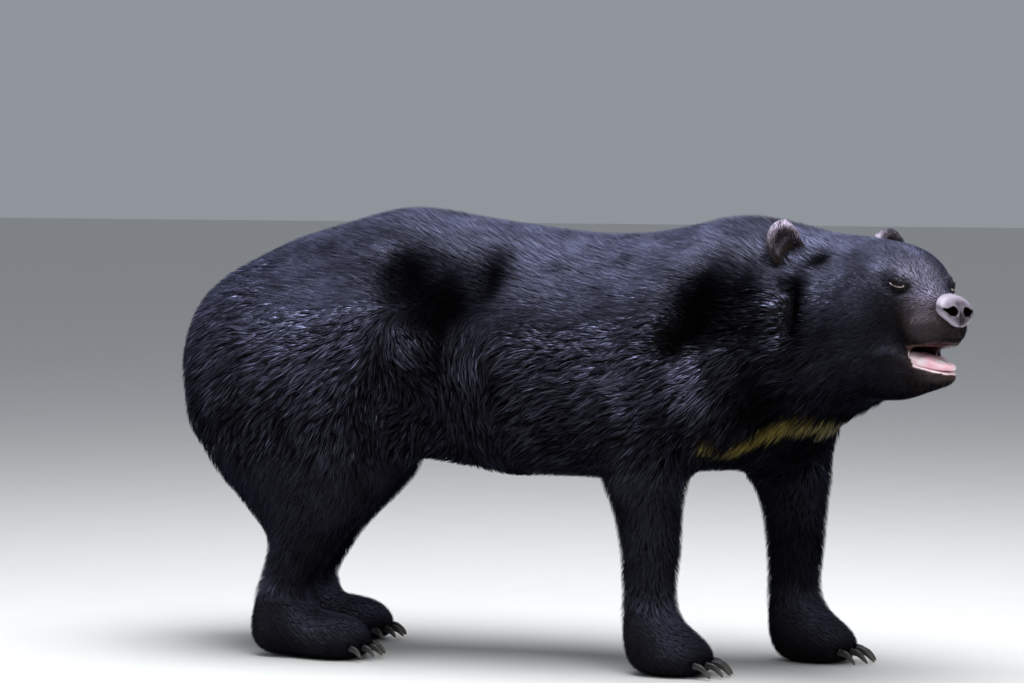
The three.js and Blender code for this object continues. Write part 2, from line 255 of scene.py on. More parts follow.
# The head's own axes: X ahead, Y to the left ear and Z up. The ears stand above and a little behind
# the origin, and the nose droops from the line through it and them.
NOSE_DROOP = math.radians(19.2)
EARS_BEHIND = 0.009
EARS_ABOVE = 0.088
ears = (middle("left_ear") + middle("right_ear")) / 2
across = unit(middle("left_ear") - middle("right_ear"))
to_nose = unit(middle("nose_pad") - ears)
over = unit(np.cross(to_nose, across))
to_nose = np.cross(across, over)
ahead = math.cos(NOSE_DROOP) * to_nose + math.sin(NOSE_DROOP) * over
head_axes = np.stack([ahead, across, np.cross(ahead, across)])
head_origin = ears + head_axes[0] * EARS_BEHIND - head_axes[2] * EARS_ABOVE


def in_head(points):
    """Places in the head's axes, in metres."""
    return (points - head_origin) @ head_axes.T


def from_head(points):
    """The way back from the head's axes."""
    return np.asarray(points) @ head_axes + head_origin


EYE = in_head(middle("left_eye")) / mm

# The solids, joined, with the number of the node behind each triangle.
names = [*flesh, "nose_pad"]
corners, triangles, owner = [], [], []
start = 0
for number, name in enumerate(names):
    mesh = frame["nodes"][name].data
    corners.append(vertices_of(mesh))
    triangles.append(triangles_of(mesh) + start)
    owner.append(np.full(len(triangles[-1]), number))
    start += len(corners[-1])
corners, triangles, owner = (np.concatenate(parts) for parts in (corners, triangles, owner))
solids = BVHTree.FromPolygons(corners.tolist(), triangles.tolist())

# One even net is drawn over them.
VOXEL = 5.5 * mm
joined = bpy.data.meshes.new("joined_solids")
joined.from_pydata(corners.tolist(), [], triangles.tolist())
body = bpy.data.objects.new("joined_solids", joined)
bpy.context.scene.collection.objects.link(body)
remesh = body.modifiers.new("remesh", "REMESH")
remesh.mode = "VOXEL"
remesh.voxel_size = VOXEL
skin_mesh = bpy.data.meshes.new_from_object(body.evaluated_get(bpy.context.evaluated_depsgraph_get()))
bpy.data.objects.remove(body)
skin_mesh.name = "skin"


def refine(mesh, wanted):
    """Halves the edges whose two ends are wanted."""
    keep = wanted(vertices_of(mesh))
    bm = bmesh.new()
    bm.from_mesh(mesh)
    bm.verts.ensure_lookup_table()
    edges = [e for e in bm.edges if keep[e.verts[0].index] and keep[e.verts[1].index]]
    bmesh.ops.subdivide_edges(bm, edges=edges, cuts=1, use_grid_fill=True)
    bm.to_mesh(mesh)
    bm.free()


def halvings(points):
    """How often the net is halved: once on face and ears, twice at the mouth, three times at the eyes."""
    spots = in_head(points) / mm
    ear_sides = (abs(spots[:, 1]) > 88) & (spots[:, 2] > 40) & (spots[:, 0] > -60)
    to_eye = np.minimum(*(np.linalg.norm(spots - EYE * (1, side, 1), axis=1) for side in (-1, 1)))
    lips = (spots[:, 0] > 222) & (spots[:, 2] < -62) & (spots[:, 2] > -145) | (spots[:, 0] > 282)
    return np.where(to_eye < 15, 3, np.where((to_eye < 28) | lips, 2, ((spots[:, 0] > 60) | ear_sides) * 1))


for level in (1, 2, 3):
    refine(skin_mesh, lambda points: halvings(points) >= level)


class Net:
    """The vertices of a mesh with their neighbours."""

    def __init__(self, mesh):
        edges = np.empty(len(mesh.edges) * 2, int)
        mesh.edges.foreach_get("vertices", edges)
        edges = edges.reshape(-1, 2)
        both = np.concatenate([edges, edges[:, ::-1]])
        both = both[np.argsort(both[:, 0], kind="stable")]
        self.far = both[:, 1]
        self.count = np.bincount(both[:, 0], minlength=len(mesh.vertices))
        self.first = np.concatenate([[0], np.cumsum(self.count)[:-1]])

    def around(self, values):
        """The mean of each vertex's neighbours."""
        total = np.add.reduceat(values[self.far], self.first, axis=0)
        return total / (self.count if values.ndim == 1 else self.count[:, None])

    def relaxed(self, values, rounds, share=0.5):
        """The values after they are drawn towards their neighbours' mean, a number of times."""
        for _ in range(rounds):
            values = values + share * (self.around(values) - values)
        return values


# Where each vertex lies on the solids, the number of the node it belongs to, and its place in the
# head's axes in millimetres.
net = Net(skin_mesh)
hull = vertices_of(skin_mesh)
nearest = np.array([owner[solids.find_nearest(p)[2]] for p in hull.tolist()])
here = in_head(hull) / mm


def on(*words):
    """1 where a vertex belongs to a node whose name holds one of the words, else 0."""
    wanted = np.array([any(word in name for word in words) for name in names])
    return wanted[nearest].astype(float)


# The body's facets are smoothed away, and the face, ears and feet keep their shape.
face = on("head", "lower_jaw", "nose_pad") * smooth_step(here[:, 0], 40, 170)
fine = np.clip(face + on("paw", "ear", "lower_jaw", "nose_pad"), 0, 1)
ease = net.relaxed(1 - 0.8 * fine, 25)[:, None]
calm = hull.copy()
for _ in range(40):
    calm = calm + 0.6 * ease * (net.around(calm) - calm)
for _ in range(6):
    calm = calm + 0.5 * (net.around(calm) - calm)


# The mouth's lining is bare: pink on the lower jaw and dark red on the upper one, partly its own
# colour and partly painted shade. It lies between the lips, and in two rounded hollows that are given
# by their middle and half-widths.
MOUTH_CORNER = (230, -88)
UPPER_LIP = [MOUTH_CORNER, (262, -85), (290, -79), (400, -76)]
LOWER_LIP = [MOUTH_CORNER, (245, -118), (316, -133)]
CAVITY = ((216, 0, -104), (88, 34, 36))
TONGUE_BED = ((230, 0, -120), (80, 33, 24))


def lip_height(lip):
    """Height of a lip, ahead as far as each vertex, from its line in the head's side view."""
    return np.interp(here[:, 0], [x for x, z in lip], [z for x, z in lip])


def within(centre, half):
    return np.linalg.norm((here - centre) / half, axis=1) < 1


gape = (here[:, 2] < lip_height(UPPER_LIP) + 1.5) & (here[:, 2] > lip_height(LOWER_LIP) - 2)
gape = gape & (here[:, 0] > MOUTH_CORNER[0] - 2)
lining = net.relaxed((gape | within(*CAVITY) | within(*TONGUE_BED)) * 1.0, 2)
lower_side = net.relaxed(on("lower_jaw"), 2) * (1 - smooth_step(here[:, 2], -90, -80))


def normals_of(points):
    """The skin's normals when its vertices lie at the points."""
    skin_mesh.vertices.foreach_set("co", points.ravel())
    skin_mesh.update()
    out = np.empty(len(points) * 3)
    skin_mesh.vertices.foreach_get("normal", out)
    return out.reshape(-1, 3)


# The nose pad's bare face leans back and narrows downward, and the coat ends at its edge. Its
# measures are in millimetres, in the head's axes.
PAD_HEIGHT = -22
PAD_HALF = (35, 27)
PAD_FRONT = (297, 306)
PAD_SUNK = 18
pad_up = here[:, 2] - PAD_HEIGHT
pad_half = PAD_HALF[0] - 13 * smooth_step(-pad_up, 0, 28)
pad_out = np.hypot(here[:, 1] / pad_half, pad_up / PAD_HALF[1])
pad_face = smooth_step(here[:, 0] + 0.25 * pad_up, *PAD_FRONT) * (1 - smooth_step(pad_out, 0.85, 0.98))
pad_face = pad_face * on("nose_pad")

# Depth of the coat, in millimetres. On the head it goes down from the nape to the muzzle.
crown = 24 - 14 * smooth_step(here[:, 0], -60, 90) - 4 * smooth_step(here[:, 0], 90, 190)
crown = crown - 3 * smooth_step(here[:, 0], 190, 250)
jowl = 14 * smooth_step(-here[:, 2], 20, 110) * (1 - smooth_step(here[:, 0], 60, 170))
depth = (
    on("trunk") * 17
    + on("tail") * 22
    + on("neck") * 24
    + on("fore_left_upper", "fore_right_upper") * 17
    + on("hind_left_upper", "hind_right_upper") * 16
    + on("lower_leg") * 12
    + on("paw") * 5
    + on("ear") * 5
    + on("head") * (crown + jowl)
    + on("lower_jaw") * (3 + 11 * (1 - smooth_step(here[:, 0], 110, 210)))
    + on("nose_pad") * 3
) * mm
depth = net.relaxed(depth, 40) * (1 - fine) + net.relaxed(depth, 8) * fine
depth = depth * (1 - net.relaxed(lining, 3))
normal = unit(net.relaxed(normals_of(calm), 10))

# Hollows and swells of both sides: behind the cheek, round the shoulder, before and on the haunch.
# Each has its place and half-widths ahead and upward in millimetres, how far it goes in, and the
# share of painted light on the coat there: above 0 a painted highlight, below 0 painted shade.
FORMS = [
    ((484, 655), (20, 92), 26, -1),
    ((305, 660), (80, 112), 28, -1),
    ((262, 600), (52, 50), 12, -1),
    ((385, 655), (55, 95), 6, -0.85),
    ((345, 735), (60, 40), 0, -0.6),
    ((398, 745), (34, 45), 5, -0.75),
    ((400, 470), (40, 70), 14, -0.7),
    ((-275, 715), (70, 85), 14, -0.9),
    ((-98, 712), (40, 72), 14, -0.85),
    ((-190, 655), (90, 90), 14, -0.95),
    ((-190, 715), (150, 75), 8, -0.75),
    ((-238, 578), (44, 40), -9, 1.2),
    ((-172, 570), (22, 70), 10, -0.8),
    ((-130, 580), (40, 90), -5, 0.4),
    ((-80, 520), (16, 60), 6, -0.7),
    ((205, 480), (34, 90), 10, 0),
    ((-430, 600), (170, 110), 0, 1.3),
    ((-420, 800), (280, 90), 0, -0.2),
    ((70, 530), (210, 90), 0, 1.1),
    ((310, 520), (60, 75), -4, 2.6),
]

# The same on the head, in its own axes: painted shade before and below the ear and behind the
# cheek, painted highlights on the two lobes of the ruff, painted shade on the forehead and below the
# eye, and painted highlights on the muzzle's side, the lip and the chin.
HEAD_FORMS = [
    ((52, 105, 66), (42, 50, 28), 6, -0.96),
    ((30, 152, 22), (44, 48, 28), 3, -0.93),
    ((60, 160, -46), (22, 60, 84), 6, -0.92),
    ((24, 178, -28), (16, 40, 34), -6, 0.3),
    ((28, 184, -85), (18, 40, 30), -3, 0.9),
    ((206, 42, 73), (60, 50, 34), 0, -0.45),
    ((150, 60, 80), (70, 70, 50), 0, -0.35),
    ((205, 72, 34), (32, 26, 20), 2, -0.6),
    ((256, 40, -20), (40, 34, 34), 0, 1.8),
    ((272, 45, -58), (40, 40, 30), 0, 2.2),
    ((285, 30, -140), (40, 30, 16), 0, 2.5),
]

# sink is how much deeper the skin lies, and light the painted light on the coat: painted highlight above 1,
# painted shade below.
sink = np.zeros(len(hull))
light = np.ones(len(hull))
on_side = smooth_step(np.abs(hull[:, 1]), 0.06, 0.13)
for (x, z), (half_x, half_z), deep, gain in FORMS:
    away_by = np.hypot((hull[:, 0] / mm - x) / half_x, (hull[:, 2] / mm - z) / half_z)
    sink += deep * mm * (1 - smooth_step(away_by, 0.1, 1.0)) * on_side
    light *= 1 + gain * (1 - smooth_step(away_by, 0.4, 1.25)) * on_side
sink = net.relaxed(sink, 6) * (1 - face)
light = 1 + (net.relaxed(light, 4) - 1) * (1 - face)
for place, half, deep, gain in HEAD_FORMS:
    away_by = np.linalg.norm((here * np.where(here[:, 1:2] < 0, (1, -1, 1), 1) - place) / half, axis=1)
    sink += deep * mm * (1 - smooth_step(away_by, 0.1, 1.0)) * (1 - on("ear"))
    light *= 1 + gain * (1 - smooth_step(away_by, 0.3, 1.25)) * (1 - on("ear"))

# The ears are thin, so their skin lies nearer to the surface. Their coat is painted brighter, and painted
# shade darkens the lower jaw's.
EAR_THINNER = 3.2
sink += PAD_SUNK * mm * net.relaxed(pad_face, 2)
sink -= EAR_THINNER * mm * net.relaxed(on("ear"), 4)
light *= 1 + net.relaxed(on("ear"), 3) * 0.36
light *= 1 - 0.15 * on("lower_jaw")

# The skin lies nearly as deep as the coat, whose roots are in it.
SKIN_DEPTH = 0.92
skin = calm - normal * (depth * SKIN_DEPTH + sink)[:, None]
skin = skin + 0.5 * ease * (net.relaxed(skin, 8) - skin)

# ---------------------------------------------------------------- eyelids
# The lids are folds of the skin that hug the eyeball and leave an almond-shaped opening, which lies
# a little low and behind the pupil and slants. A pale rim follows the lower lid.

EYE_RADIUS = 12.0
EYE_SUNK = 2.5
LID_THICK = 1.5
LID_REACH = 10.5
LID_HALF = (9.6, 4.4)
LID_LOW = 1.6
LID_BACK = 2.4
LID_SLANT = 0.16


def eye_frame(side):
    """The eyeball's middle, and the directions ahead of it, to the nose and up."""
    look = unit(np.array([0.80, side * 0.60, -0.06]))
    centre = EYE * (1, side, 1) - look * EYE_SUNK
    inner = unit(np.cross((0, 0, side), look))
    inner = inner * np.sign(inner[0])
    up_way = np.cross(look, inner)
    return centre, look, inner, up_way * np.sign(up_way[2])


spot = in_head(skin) / mm
lid_edge = np.full(len(spot), 9.0)
lid_rim = np.zeros(len(spot))
for side in (-1, 1):
    centre, look, inner, up_way = eye_frame(side)
    out = spot - centre
    ahead_by, t, v = out @ look, out @ inner, out @ up_way
    off = np.hypot(t, v)
    slant = v + LID_LOW + LID_SLANT * t
    half_open = np.where(slant > 0, LID_HALF[1], LID_HALF[1] * 0.8)
    almond = np.hypot((t + LID_BACK) / LID_HALF[0], slant / half_open)
    lid = np.sqrt(np.maximum((EYE_RADIUS + LID_THICK) ** 2 - np.minimum(off, LID_REACH) ** 2, 0))
    lid = lid - 0.8 * np.maximum(off - LID_REACH, 0)
    lid = lid - 1.6 * np.exp(-(((off - 13) / 1.8) ** 2)) * smooth_step(v, 0, 6)
    socket = np.sqrt(np.maximum(EYE_RADIUS**2 - off**2, 0)) - 3.5
    height = socket + (lid - socket) * smooth_step(almond, 0.94, 1.10)
    near_eye = (off < 26) & (np.abs(ahead_by) < 25)
    blend = near_eye * (1 - smooth_step(off, 13, 26))
    spot = spot + look * (blend * (height - ahead_by))[:, None]
    lid_edge = np.where(near_eye, np.minimum(lid_edge, almond), lid_edge)
    rim_band = smooth_step(almond, 1.0, 1.08) * (1 - smooth_step(almond, 1.24, 1.4))
    lid_rim += near_eye * (slant < 0.5) * rim_band
skin = from_head(spot * mm)

# Only the parts of the lower jaw that face up or outward are pink; the rest is dark red, painted shade.
normal = unit(net.relaxed(normals_of(skin), 2))
lean = normal @ head_axes.T
lower_side = lower_side * smooth_step(lean[:, 1] * np.sign(here[:, 1]) + lean[:, 2], -0.1, 0.5)

# ---------------------------------------------------------------- lie of the coat
# The hair runs back from the nose, down the neck and sides, and down the legs to the toes. It
# fans out over the front of the haunch, and falls straight in the fold before it.


def way(x, y, z):
    """One direction for each vertex."""
    return np.stack([value + np.zeros(len(hull)) for value in (x, y, z)], axis=1)


def each(share, flow):
    """The directions where share is 1, and nothing where it is 0."""
    return share[:, None] * unit(flow)


# Shares from 0 to 1 of the body's parts, by how far ahead (x) and how high (z) they lie, in metres.
x, z = hull[:, 0], hull[:, 2]
flank = smooth_step(0.72 - z, 0.0, 0.30)
thigh = smooth_step(0.64 - z, 0.0, 0.26)
rump = smooth_step(-x, 0.42, 0.72)
knee = smooth_step(x, -0.40, -0.27)
fold = smooth_step(x, -0.22, -0.16) * (1 - smooth_step(x, -0.10, -0.03)) * smooth_step(0.70 - z, 0, 0.08)
fan = 1 - smooth_step(np.hypot((x + 0.240) / 0.10, (z - 0.575) / 0.10), 0.5, 1.0)
breast = smooth_step(x, 0.24, 0.33)
limb = np.maximum(breast, smooth_step(0.50 - z, 0, 0.12))

from_nose = way(here[:, 0] - 300, here[:, 1] * 1.4, here[:, 2] + 10 - 60 * smooth_step(-here[:, 2], -20, 80))
ear_out = way(-0.2, 0.5 * np.sign(here[:, 1]), 1)
trunk_down = 0.05 + 0.28 * flank + 1.2 * fold + 0.8 * fan + 1.3 * rump * (0.2 + thigh)
trunk_way = way(-1 + 0.75 * rump + 1.1 * fold + 2.3 * fan, 0, -trunk_down)
haunch_way = way(-0.8 + 0.5 * thigh + 0.5 * knee, 0, -0.28 - 0.85 * thigh)
shoulder_way = way(-1 + 0.4 * limb + 0.95 * breast, 0, -0.35 - 0.55 * limb)
flow = (
    each(on("trunk"), trunk_way)
    + each(on("neck"), way(-0.9, 0, -0.15 - 0.7 * flank))
    + each(on("tail"), way(-0.25, 0, -1))
    + each(on("hind_left_upper", "hind_right_upper"), haunch_way)
    + each(on("fore_left_upper", "fore_right_upper"), shoulder_way)
    + each(on("fore_left_lower", "fore_right_lower"), way(-0.05, 0, -1))
    + each(on("hind_left_lower", "hind_right_lower"), way(-0.45, 0, -0.9))
    + each(on("paw"), way(0.8, 0, -0.5))
    + each(on("head", "nose_pad"), from_nose @ head_axes)
    + each(on("lower_jaw"), way(-0.9, 0, -0.25) @ head_axes)
    + each(on("ear"), ear_out @ head_axes)
)
# The directions blend from part to part, and are laid flat on the skin.
flow = net.relaxed(flow, 60) * (1 - fine)[:, None] + net.relaxed(flow, 12) * fine[:, None]
flow = unit(flow - normal * np.sum(flow * normal, axis=1, keepdims=True))

# ---------------------------------------------------------------- markings of the coat
# Black with a cool painted sheen on the parts that face up, brown on the muzzle and ears, and a pale
# crescent on the chest. The skin and the hair that grows from it carry the same brown and pale
# markings; the painted light is on the hair alone.


def waves(points, length, seed):
    """Smooth noise, mostly from -1 to 1, that varies over the given length."""
    turn = np.random.default_rng(seed)
    total = np.zeros(len(points))
    for _ in range(6):
        across_by = unit(turn.normal(size=3)) * turn.uniform(0.7, 1.4) * 2 * math.pi / length
        total += np.sin(points @ across_by + turn.uniform(0, 6.28))
    return total / 3


# The crescent's middle line over the chest, from the right elbow to the left side, in millimetres.
CRESCENT = [(318, -172, 432), (352, -118, 412), (405, -132, 432), (448, -138, 455), (490, -125, 480),
            (518, -62, 468), (520, 0, 458), (505, 78, 470), (468, 132, 502)]
CRESCENT_RAGGED = 5 * mm
CRESCENT_EDGE = (13 * mm, 22 * mm)


def crescent(points):
    """1 on the pale crescent of the chest, else 0."""
    nearest_by = np.full(len(points), 9.0)
    for a, b in zip(np.array(CRESCENT[:-1]) * mm, np.array(CRESCENT[1:]) * mm):
        t = np.clip((points - a) @ (b - a) / ((b - a) @ (b - a)), 0, 1)
        nearest_by = np.minimum(nearest_by, np.linalg.norm(points - a - t[:, None] * (b - a), axis=1))
    ragged = nearest_by + CRESCENT_RAGGED * waves(points, 0.03, 9)
    return 1 - smooth_step(ragged, *CRESCENT_EDGE)


pale = crescent(hull)
# Painted light on the coat: brighter where it faces up, as if lit from above, with painted shade under the
# neck and along the neck, and a little more on the ears.
facing_up = smooth_step(net.relaxed(normal[:, 2], 10), -0.5, 0.85)
under_neck = smooth_step(x, 0.24, 0.36) * smooth_step(0.60 - z, 0, 0.10)
neck = net.relaxed(on("neck"), 20)
coat_painted_light = (0.048 + 0.375 * facing_up**2) * light
coat_painted_light = coat_painted_light * (1 - 0.35 * under_neck) * (1 - 0.5 * neck) + 0.034 * on("ear")
muzzle = smooth_step(here[:, 0], 195, 255) * on("head", "lower_jaw", "nose_pad")
muzzle = muzzle * (0.25 + 0.4 * smooth_step(-here[:, 2], -15, 25))
brown = net.relaxed(np.maximum(muzzle, on("ear") * 0.55), 4)

# ---------------------------------------------------------------- coat
# Tufts of hair: closed blades with a three-sided section, rooted in the skin and lying along it.
# Neighbours draw together into locks, loosely on the back and tightly on the haunch and breast.
# The coat is long on the body, where it is locked or sleek, and short on the face, ears and feet.

rng = np.random.default_rng(7)
corner = triangles_of(skin_mesh)
spread = np.cross(skin[corner[:, 1]] - skin[corner[:, 0]], skin[corner[:, 2]] - skin[corner[:, 0]])
area = np.linalg.norm(spread, axis=1) / 2
bare = (lining > 0.4) | (lid_edge < 1.3) | (pad_face > 0.3)

# How much the coat gathers into locks: 0 where it is sleek and 1 where it is shaggiest.
cheek = on("head", "lower_jaw") * (1 - smooth_step(here[:, 0], 120, 220))
cheek = cheek * smooth_step(40 - here[:, 2], 0, 60)
shag = net.relaxed(np.clip(
    0.2
    + 0.5 * on("hind_left_upper", "hind_right_upper", "tail") * smooth_step(z, 0.30, 0.50)
    + 0.45 * on("neck") * smooth_step(0.70 - z, 0, 0.15)
    + 0.5 * on("fore_left_upper", "fore_right_upper") * smooth_step(z, 0.30, 0.48)
    + 0.55 * on("trunk") * np.maximum(rump, smooth_step(0.70 - z, 0, 0.18))
    + 0.3 * cheek,
    0, 1), 30)
locked = smooth_step(shag, 0.3, 0.5)
skin_tree = BVHTree.FromPolygons(skin.tolist(), corner.tolist())

# How far a tip may stand outside the solids, how many tufts share a leader, how many millimetres
# deep a tuft starts in the skin, and its length and width. PATCH is the size of its patch on the
# map of the coat's colors, as a share of the map.
PROUD = 3 * mm
TUFTS_TO_A_LOCK = 5
ROOT_SUNK = 1.5
LENGTH_TO_DEPTH = 1.9
THINNEST = 0.8 * mm
WIDTH_TO_LENGTH = 0.027
PATCH = 0.003

# On that map each part of the body is unrolled round its own middle line, which runs ahead (axis 0)
# or upward (axis 2), into a room of the square, given as left, bottom, width and height.
CHARTS = [
    (("trunk", "tail"), 0, (0.00, 0.55, 0.52, 0.45)),
    (("neck",), 0, (0.52, 0.55, 0.24, 0.45)),
    (("head", "nose_pad"), 0, (0.76, 0.70, 0.24, 0.30)),
    (("lower_jaw",), 0, (0.76, 0.55, 0.24, 0.15)),
    (("left_ear",), 2, (0.68, 0.00, 0.16, 0.12)),
    (("right_ear",), 2, (0.84, 0.00, 0.16, 0.12)),
]
for column, leg in enumerate(("fore_left", "fore_right", "hind_left", "hind_right")):
    CHARTS.append(((leg + "_upper_leg",), 2, (0.25 * column, 0.27, 0.25, 0.28)))
    CHARTS.append(((leg + "_lower_leg",), 2, (0.25 * column, 0.12, 0.25, 0.15)))
    CHARTS.append(((leg + "_paw",), 0, (0.17 * column, 0.00, 0.17, 0.12)))


def unrolled(points, part_of):
    """Each point's place on the map; part_of is the number of the node it belongs to."""
    place = np.zeros((len(points), 2))
    for words, axis, (left, bottom, wide, high) in CHARTS:
        numbers = [number for number, name in enumerate(names) if any(word in name for word in words)]
        chosen = np.isin(part_of, numbers)
        whole, mine = hull[np.isin(nearest, numbers)], points[chosen]
        if words[0] in ("head", "lower_jaw", "left_ear", "right_ear"):
            whole, mine = in_head(whole), in_head(mine)
        levels = np.linspace(whole[:, axis].min(), whole[:, axis].max(), 9)
        near_by = (levels[1] - levels[0]) * 1.1
        line_of = np.array([whole[np.abs(whole[:, axis] - level) < near_by].mean(0) for level in levels])
        off = [mine[:, k] - np.interp(mine[:, axis], levels, line_of[:, k]) for k in (1, 2 - axis)]
        round_by = np.arctan2(*off) / (2 * math.pi) + 0.5
        along_by = np.clip((mine[:, axis] - levels[0]) / (levels[-1] - levels[0]), 0, 1)
        place[chosen, 0] = left + PATCH + (wide - 2 * PATCH) * round_by
        place[chosen, 1] = bottom + PATCH + (high - 2 * PATCH) * along_by
    return place


def blade_faces(rings):
    """The triangles of one tuft: rings of three corners, closed at the root and pointed at the tip."""
    sides = [(0, 1), (1, 2), (2, 0)]
    faces = [(0, 1, 2)]
    for first in range(0, rings * 3 - 3, 3):
        for a, b in sides:
            faces += [(first + b, first + a, first + 3 + a), (first + b, first + 3 + a, first + 3 + b)]
    last = rings * 3 - 3
    return np.array(faces + [(last + b, last + a, last + 3) for a, b in sides])


def tuft_piece(name, blades, faces, marks, places):
    """One mesh of many tufts; marks hold a value, and places a spot on the map, for each tuft."""
    count, corners_each = blades.shape[:2]
    mesh = bpy.data.meshes.new(name)
    loops = (faces[None] + (np.arange(count) * corners_each)[:, None, None]).reshape(-1)
    mesh.vertices.add(count * corners_each)
    mesh.vertices.foreach_set("co", blades.ravel())
    mesh.loops.add(len(loops))
    mesh.loops.foreach_set("vertex_index", loops)
    mesh.polygons.add(len(loops) // 3)
    mesh.polygons.foreach_set("loop_start", np.arange(0, len(loops), 3))
    mesh.polygons.foreach_set("loop_total", np.full(len(loops) // 3, 3))
    mesh.update()
    for mark, values in marks.items():
        layer = mesh.attributes.new(mark, "FLOAT", "POINT")
        layer.data.foreach_set("value", np.repeat(values, corners_each))
    number = np.arange(corners_each)
    patch = np.stack([(number % 3 - 1) / 2, number / (corners_each - 1) - 0.5], axis=1) * PATCH
    patch[-1, 0] = 0
    spots = (places[:, None] + patch[None]).reshape(-1, 2)
    mesh.uv_layers.new(name="OFBake").data.foreach_set("uv", spots[loops].ravel())
    add_piece(name, mesh, hair, "coat")


def scatter(count, crowd):
    """Spreads roots over the skin by crowd: the triangle that each is in, and its corners' shares."""
    share = area * crowd[corner].mean(axis=1)
    drawn = (np.arange(count) + rng.random(count)) / count * share.sum()
    triangle = np.clip(np.searchsorted(np.cumsum(share), drawn), 0, len(corner) - 1)
    return triangle, rng.dirichlet((1, 1, 1), count)


def gathered(root):
    """The tuft that leads each one's lock, and how near to it each is: 1 at the lock's middle."""
    leaders = np.arange(0, len(root), TUFTS_TO_A_LOCK)
    tree = KDTree(len(leaders))
    for number, leader in enumerate(leaders):
        tree.insert(root[leader], number)
    tree.balance()
    chief = leaders[np.array([tree.find(p)[1] for p in root.tolist()])]
    gap = np.linalg.norm(root - root[chief], axis=1)
    return chief, 1 - np.clip(gap / (2 * np.median(gap)), 0, 1)


def lay_on_skin(line, rise):
    """Moves the lines onto the skin, raised from it, and gives the triangle below each one's tip."""
    below = np.zeros(len(line), int)
    for step in range(1, line.shape[1]):
        for number, p in enumerate(line[:, step].tolist()):
            spot, outward, below[number], _ = skin_tree.find_nearest(p)
            line[number, step] = spot + outward * rise[number, step]
    return below


def draw_in_tips(line):
    """Brings back the tips that would stand too far outside the solids."""
    for number, p in enumerate(line[:, -1].tolist()):
        spot, outward, _, _ = solids.find_nearest(p)
        over_by = (Vector(p) - spot).dot(outward)
        if over_by > PROUD:
            line[number, -1] -= np.array(outward) * (over_by - PROUD)


def blades_round(line, flat, width, girth, keel):
    """The tufts' corners: rings of three round each line, widest along flat, and the tip."""
    rings = len(girth)
    tangent = unit(np.concatenate([line[:, 1:2] - line[:, :1], line[:, 2:] - line[:, :-2]], axis=1))
    wide = unit(flat[:, None] - tangent * np.sum(flat[:, None] * tangent, axis=2, keepdims=True))
    tall = np.cross(wide, tangent)
    half = width[:, None] * np.array(girth) / 2
    ring = [line[:, :rings] + wide * (half * a)[..., None] + tall * (half * b)[..., None]
            for a, b in ((1, -0.1), (-1, -0.1), (0, keel))]
    return np.concatenate([np.stack(ring, axis=2).reshape(len(line), rings * 3, 3), line[:, rings:]], axis=1)


def grow(name, pieces, count, crowd, steps, girth, stout, keel):
    """Grows tufts where crowd is high, and shares them out from tail to head over some pieces.

    steps are the places along a tuft of its rings and its tip, and girth is each ring's share of its
    width. stout widens all of them, and keel is the section's height as a share of half its width.
    """
    triangle, weight = scatter(count, crowd)

    def here_at(values):
        picked = values[corner[triangle]]
        return np.sum(picked * (weight if picked.ndim == 2 else weight[:, :, None]), axis=1)

    root, deep, rough = here_at(skin), here_at(depth), here_at(shag)
    hollow = np.clip(here_at(sink) / (20 * mm), 0, 1)
    chief, core = gathered(root)

    # Where each tuft points, how long and wide it is, how far it rises and how it bends sideways.
    up = unit(here_at(normal))
    along = unit(here_at(flow))
    beside = np.cross(up, along)
    sway = rng.normal(0, 6, count) + waves(root, 0.09, 1) * (4 + 12 * rough)
    sway = np.radians(sway + waves(root, 0.035, 2) * 9 * rough)[:, None]
    along = along * np.cos(sway) + beside * np.sin(sway)
    beside = np.cross(up, along)
    length = (deep * LENGTH_TO_DEPTH + (3 + 2.5 * here_at(fine)) * mm) * (1 - 0.35 * hollow)
    length = length * rng.uniform(0.75, 1.2, count) * (1 + 0.15 * waves(root, 0.05, 3))
    width = stout * (THINNEST + WIDTH_TO_LENGTH * length) * rng.uniform(0.65, 1.35, count)
    lift = deep * (1.08 - 0.18 * rng.random(count) - 0.42 * rough * (1 - core))
    bend = length * (rng.normal(0, 0.05, count) + 0.12 * rough * waves(root, 0.05, 4))

    # Its middle line follows the skin, rises from it towards the tip, and is drawn to the leader's
    # line where the two run alike.
    s = np.array(steps)[None, :, None]
    line = (
        (root - up * ROOT_SUNK * mm)[:, None]
        + along[:, None] * length[:, None, None] * s
        + beside[:, None] * bend[:, None, None] * s**2
    )
    rise = lift[:, None] * (1 - (1 - s[..., 0]) ** (1.8 - 0.7 * rough[:, None]))
    below_tip = lay_on_skin(line, rise)
    pull = (0.05 + 0.88 * rough)[:, None, None] * s**1.3
    alike = np.sum(along * along[chief], axis=1) > 0.8
    line = line + np.where(alike[:, None, None], pull, 0) * (line[chief] - line)
    draw_in_tips(line)
    roll = rng.normal(0, 0.08 + 0.4 * rough)[:, None]
    blades = blades_round(line, beside * np.cos(roll) + up * np.sin(roll), width, girth, keel)

    # Its painted light is the coat's painted light below its tip, with a painted highlight at the middle
    # of its lock and painted shade at its edges, and a tone that differs at random by lock and by tuft.
    lock_light = np.exp(rng.normal(0, 0.5, count))[chief]
    gloss = coat_painted_light[corner[below_tip, 0]] * (1 + rough * ((0.1 + 1.9 * core) * lock_light - 1))
    gloss = gloss * (1 + 0.22 * waves(root, 0.07, 5))
    gloss = np.clip(gloss * np.exp(rng.normal(0, (0.24 + 0.25 * rough) * (1 - 0.7 * here_at(fine)))), 0, 1)
    marks = {"gloss": gloss, "pale": here_at(pale), "brown": here_at(brown)}
    places = unrolled(root, nearest[corner[triangle, 0]])
    faces = blade_faces(len(girth))
    for number, chosen in enumerate(np.array_split(np.argsort(root[:, 0], kind="stable"), pieces)):
        picked = {mark: values[chosen] for mark, values in marks.items()}
        tuft_piece(f"{name}_{number + 1}", blades[chosen], faces, picked, places[chosen])


